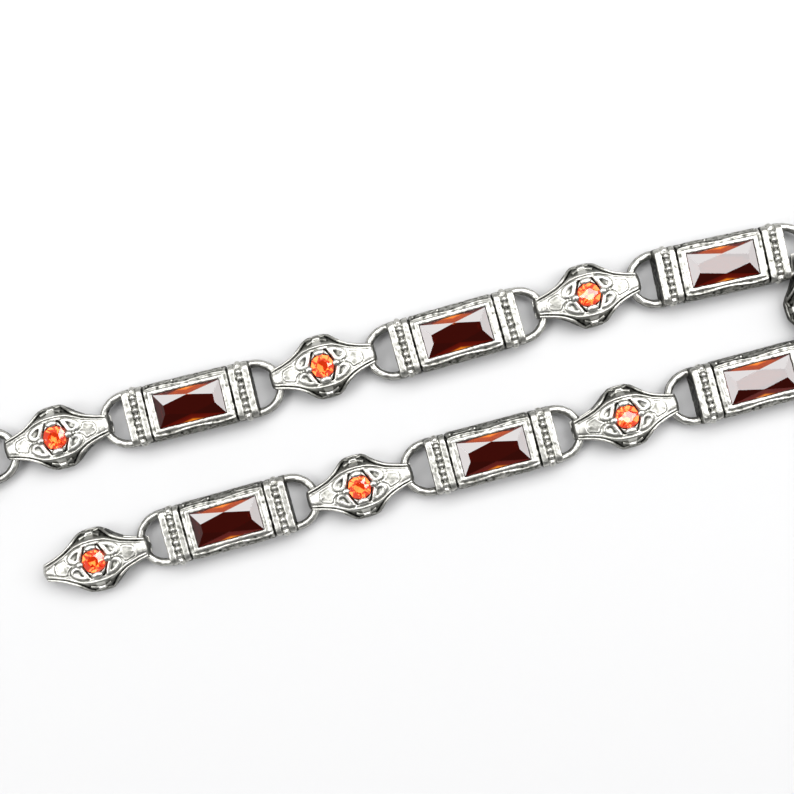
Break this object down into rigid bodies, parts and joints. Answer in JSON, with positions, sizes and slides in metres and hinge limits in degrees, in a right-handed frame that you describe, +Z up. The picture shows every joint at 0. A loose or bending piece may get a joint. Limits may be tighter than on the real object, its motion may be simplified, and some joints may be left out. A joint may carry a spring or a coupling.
{
  "type": "chain bracelet",
  "caption": "Silver link bracelet of stone-set bars and flower links, lying open in two strands, with a hook at its free end.",
  "frame": {"origin": "middle of the box round the laid-out bracelet, on the surface that it lies on", "axes": "+X along the strands towards the bend, +Y from the free end's strand to the other, +Z up out of the stones"},
  "size_m": [0.1095, 0.0204, 0.0036],
  "materials": {
    "silver": "oxidised cast silver, polished on the high places",
    "hook_silver": "plain bent silver strip",
    "red_stone": "cut garnet-red stone",
    "orange_stone": "cut orange-red stone"
  },
  "bodies": {
    "root": {"terminal_link": "silver", "bar_link_1": "silver", "bar_link_2": "silver", "bar_link_3": "silver", "bar_link_4": "silver", "bar_link_5": "silver", "bar_link_6": "silver", "bar_link_7": "silver", "flower_link_1": "silver", "flower_link_2": "silver", "flower_link_3": "silver", "flower_link_4": "silver", "flower_link_5": "silver", "flower_link_6": "silver", "clasp_hook": "hook_silver", "long_stone_1": "red_stone", "long_stone_2": "red_stone", "long_stone_3": "red_stone", "long_stone_4": "red_stone", "long_stone_5": "red_stone", "long_stone_6": "red_stone", "long_stone_7": "red_stone", "round_stone_0": "orange_stone", "round_stone_1": "orange_stone", "round_stone_2": "orange_stone", "round_stone_3": "orange_stone", "round_stone_4": "orange_stone", "round_stone_5": "orange_stone", "round_stone_6": "orange_stone"}
  },
  "joints": []
}
